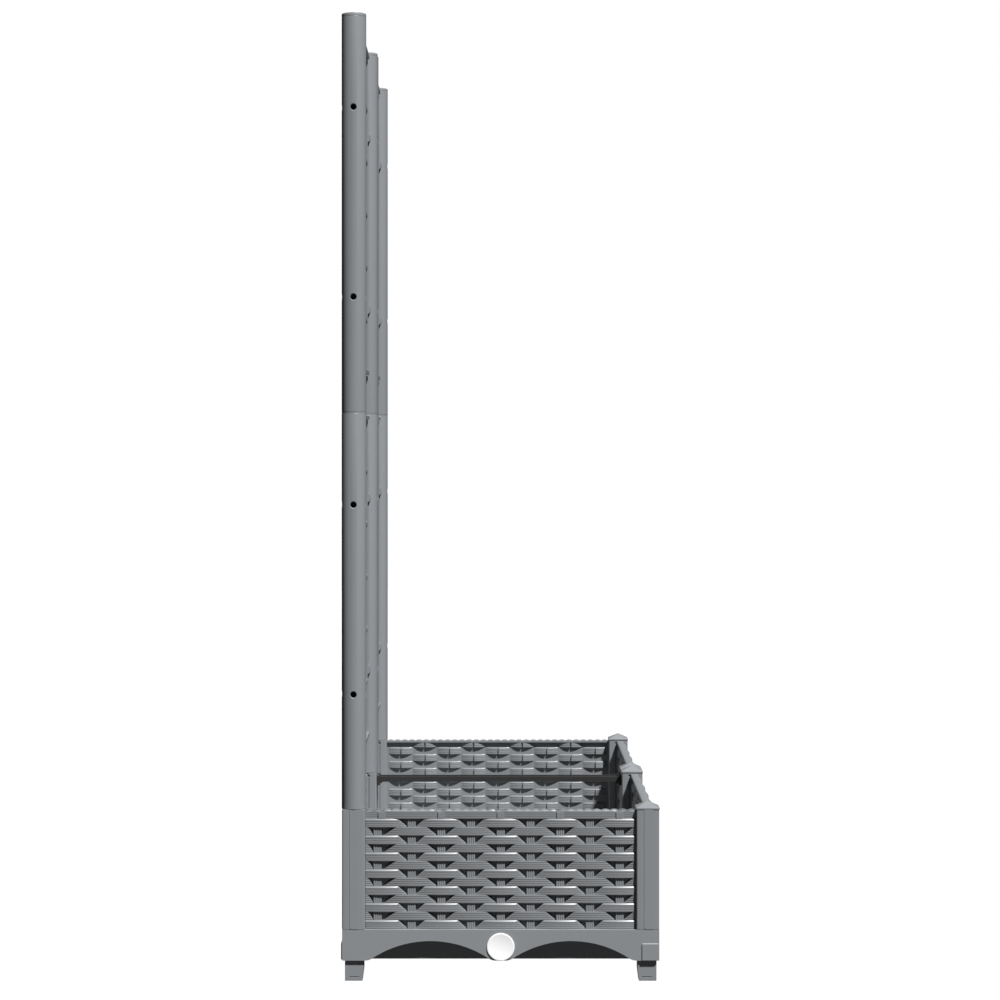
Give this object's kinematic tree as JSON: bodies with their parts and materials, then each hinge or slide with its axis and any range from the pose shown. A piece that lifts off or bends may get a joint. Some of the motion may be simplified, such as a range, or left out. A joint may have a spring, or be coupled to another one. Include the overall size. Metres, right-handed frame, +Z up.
{
  "type": "planter with trellis",
  "caption": "Modular trough planter with woven-look walls on footed trays and round posts at the back holding an open grid trellis.",
  "frame": {"origin": "on the floor, under the middle of the planter's length and depth", "axes": "+X along the length, away from the end seen in the picture; -Y the open front, +Y the side that carries the trellis; +Z up"},
  "size_m": [0.8, 0.4, 1.2137],
  "materials": {
    "grey_plastic": "satin moulded, mid grey",
    "white_plastic": "satin moulded, white",
    "dark_plastic": "satin moulded, charcoal"
  },
  "bodies": {
    "root": {"near_tray": "grey_plastic", "near_front_panel": "grey_plastic", "near_back_panel": "grey_plastic", "near_end_panel": "grey_plastic", "near_lower_lattice": "grey_plastic", "near_upper_lattice": "grey_plastic", "far_tray": "grey_plastic", "far_front_panel": "grey_plastic", "far_back_panel": "grey_plastic", "far_end_panel": "grey_plastic", "far_lower_lattice": "grey_plastic", "far_upper_lattice": "grey_plastic", "near_outer_back_foot": "grey_plastic", "near_outer_back_post": "grey_plastic", "near_outer_back_spigot": "grey_plastic", "near_outer_back_lower_tube": "grey_plastic", "near_outer_back_upper_tube": "grey_plastic", "near_outer_back_coupler": "grey_plastic", "near_outer_back_tube_cap": "grey_plastic", "near_outer_front_foot": "grey_plastic", "near_outer_front_post": "grey_plastic", "near_outer_front_cap": "grey_plastic", "near_mid_back_foot": "grey_plastic", "near_mid_back_post": "grey_plastic", "near_mid_back_spigot": "grey_plastic", "near_mid_back_lower_tube": "grey_plastic", "near_mid_back_upper_tube": "grey_plastic", "near_mid_back_coupler": "grey_plastic", "near_mid_back_tube_cap": "grey_plastic", "near_mid_front_foot": "grey_plastic", "near_mid_front_post": "grey_plastic", "near_mid_front_cap": "grey_plastic", "far_outer_back_foot": "grey_plastic", "far_outer_back_post": "grey_plastic", "far_outer_back_spigot": "grey_plastic", "far_outer_back_lower_tube": "grey_plastic", "far_outer_back_upper_tube": "grey_plastic", "far_outer_back_coupler": "grey_plastic", "far_outer_back_tube_cap": "grey_plastic", "far_outer_front_foot": "grey_plastic", "far_outer_front_post": "grey_plastic", "far_outer_front_cap": "grey_plastic", "far_mid_back_foot": "grey_plastic", "far_mid_back_post": "grey_plastic", "far_mid_back_spigot": "grey_plastic", "far_mid_back_lower_tube": "grey_plastic", "far_mid_back_upper_tube": "grey_plastic", "far_mid_back_coupler": "grey_plastic", "far_mid_back_tube_cap": "grey_plastic", "far_mid_front_foot": "grey_plastic", "far_mid_front_post": "grey_plastic", "far_mid_front_cap": "grey_plastic", "tie_bar": "dark_plastic"},
    "near_plug": {"near_drain_plug": "white_plastic"},
    "far_plug": {"far_drain_plug": "white_plastic"}
  },
  "joints": [
    {"name": "near_plug_pull", "type": "slide", "parent": "root", "child": "near_plug", "axis": [-1, 0, 0], "range_m": [0, 0.04]},
    {"name": "far_plug_pull", "type": "slide", "parent": "root", "child": "far_plug", "axis": [1, 0, 0], "range_m": [0, 0.04]}
  ]
}
